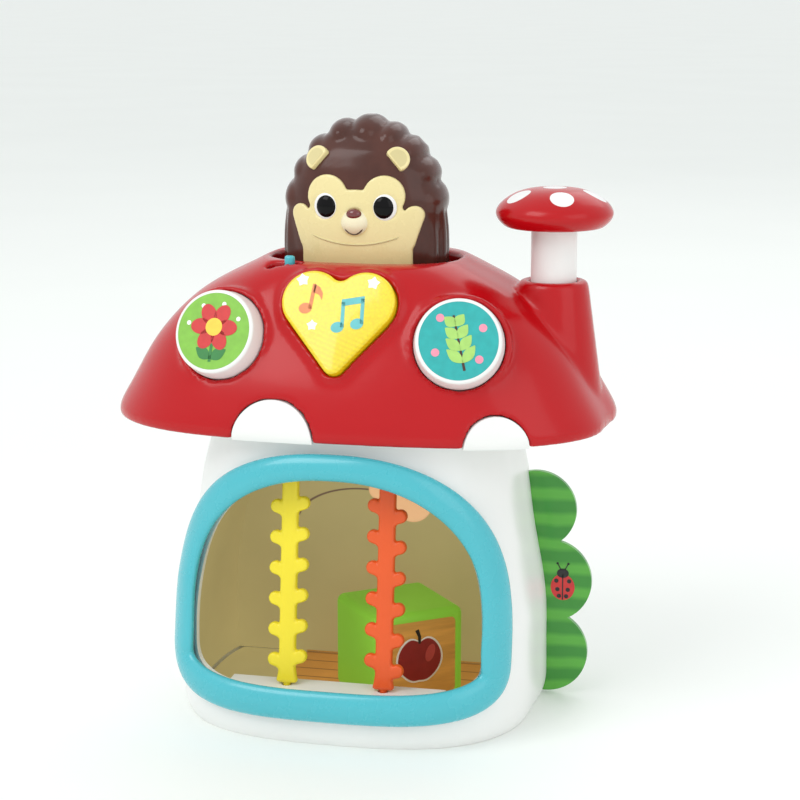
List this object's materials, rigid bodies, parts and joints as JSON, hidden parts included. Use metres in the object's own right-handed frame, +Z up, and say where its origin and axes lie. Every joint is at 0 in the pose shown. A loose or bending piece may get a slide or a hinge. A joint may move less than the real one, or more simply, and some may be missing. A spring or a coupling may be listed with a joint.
{
  "type": "pop-up toy",
  "caption": "Mushroom-house pop-up toy for a baby: spotted roof with a sprung hedgehog, a mushroom plunger, press buttons and a switch over an open room with soft vines and a loose block.",
  "frame": {"origin": "centre of the base, on the surface that the toy stands on", "axes": "+Z up, the window and the buttons face -Y, +X to the right in the picture"},
  "size_m": [0.2429, 0.1703, 0.2895],
  "materials": {
    "red_gloss": "glossy moulded",
    "turquoise": "glossy moulded",
    "wall_plastic": "glossy moulded",
    "room_print": "printed sheet",
    "yellow_soft": "soft moulded",
    "orange_soft": "soft moulded",
    "green_plate": "printed",
    "white_plastic": "glossy moulded",
    "green_print": "printed disc",
    "teal_print": "printed disc",
    "clear_yellow": "translucent, lit",
    "brown_gloss": "glossy moulded",
    "cream": "glossy moulded",
    "black_gloss": "glossy",
    "dark_red": "glossy",
    "block_green": "soft moulded",
    "ochre_print": "printed",
    "inner_plastic": "moulded",
    "board": "circuit board",
    "rubber": "moulded",
    "lamp": "clear",
    "steel": "plain",
    "cell": "printed sleeve",
    "speaker": "painted"
  },
  "bodies": {
    "house": {"roof_shell": "red_gloss", "window_ring": "turquoise", "house_front_shell": "wall_plastic", "rear_cover": "wall_plastic", "battery_door": "wall_plastic", "room_liner": "room_print", "floor_board": "room_print", "bush_plate": "green_plate", "roof_spots": "white_plastic", "base_plate": "inner_plastic", "roof_base": "inner_plastic", "guide_post": "inner_plastic", "latch_bracket": "inner_plastic", "battery_box": "inner_plastic", "switch_body": "inner_plastic", "main_board": "board", "left_button_board": "board", "right_button_board": "board", "heart_button_board": "board", "left_button_dome": "rubber", "right_button_dome": "rubber", "heart_button_dome": "rubber", "heart_lamp": "lamp", "base_screws": "steel", "top_screws": "steel", "roof_screws": "steel", "battery_door_screw": "steel", "popup_spring": "steel", "latch_pin": "steel", "latch_spring": "steel", "battery_contacts": "steel", "batteries": "cell", "speaker": "speaker"},
    "hedgehog": {"hedgehog_back": "brown_gloss", "hedgehog_face": "cream", "hedgehog_ears": "cream", "hedgehog_eyes": "black_gloss", "hedgehog_eye_whites": "white_plastic", "hedgehog_nose": "dark_red", "hedgehog_carriage": "inner_plastic"},
    "plunger": {"plunger_cap": "red_gloss", "plunger_spots": "white_plastic", "plunger_stem": "white_plastic"},
    "latch": {"latch_lever": "inner_plastic"},
    "left_button": {"left_button_cap": "white_plastic", "left_button_picture": "green_print"},
    "right_button": {"right_button_cap": "white_plastic", "right_button_picture": "teal_print"},
    "heart_button": {"heart_button_cap": "clear_yellow"},
    "switch": {"switch_knob": "turquoise"},
    "left_vine": {"yellow_vine": "yellow_soft"},
    "right_vine": {"orange_vine": "orange_soft"},
    "block": {"block_body": "block_green", "block_panels": "ochre_print"}
  },
  "joints": [
    {"name": "hedgehog_pop", "type": "slide", "parent": "house", "child": "hedgehog", "axis": [0, 0, 1], "range_m": [-0.06, 0], "stiffness_N_per_m": 60, "springref_m": 0.03, "deforming": ["popup_spring"]},
    {"name": "plunger_press", "type": "slide", "parent": "house", "child": "plunger", "axis": [0, 0, 1], "range_m": [-0.02, 0], "stiffness_N_per_m": 150, "springref_m": 0.012},
    {"name": "latch_swing", "type": "hinge", "parent": "house", "child": "latch", "pos_m": [0.052, 0, 0.1726], "axis": [0, 1, 0], "range_deg": [0, 29]},
    {"name": "left_button_press", "type": "slide", "parent": "house", "child": "left_button", "axis": [-0.146, -0.9221, 0.3584], "range_m": [-0.003, 0], "stiffness_N_per_m": 400, "springref_m": 0.002, "deforming": ["left_button_dome"]},
    {"name": "right_button_press", "type": "slide", "parent": "house", "child": "right_button", "axis": [0.146, -0.9221, 0.3584], "range_m": [-0.003, 0], "stiffness_N_per_m": 400, "springref_m": 0.002, "deforming": ["right_button_dome"]},
    {"name": "heart_button_press", "type": "slide", "parent": "house", "child": "heart_button", "axis": [0, -0.9063, 0.4226], "range_m": [-0.003, 0], "stiffness_N_per_m": 400, "springref_m": 0.002, "deforming": ["heart_button_dome"]},
    {"name": "switch_slide", "type": "slide", "parent": "house", "child": "switch", "axis": [1, 0, 0], "range_m": [-0.0078, 0.0018]},
    {"name": "left_vine_swing", "type": "hinge", "parent": "house", "child": "left_vine", "pos_m": [-0.0235, -0.067, 0.0245], "axis": [0, 0.1167, 0.9932], "range_deg": [-45, 45], "stiffness_Nm_per_rad": 0.04},
    {"name": "right_vine_swing", "type": "hinge", "parent": "house", "child": "right_vine", "pos_m": [0.0235, -0.067, 0.0245], "axis": [0, 0.1167, 0.9932], "range_deg": [-45, 45], "stiffness_Nm_per_rad": 0.04},
    {"name": "block_slide", "type": "slide", "parent": "house", "child": "block", "axis": [1, 0, 0], "range_m": [-0.06, 0.02]}
  ],
  "couplings": [
    {"joint": "latch_swing", "follows": "plunger_press", "rad_per_m": -25.268}
  ]
}
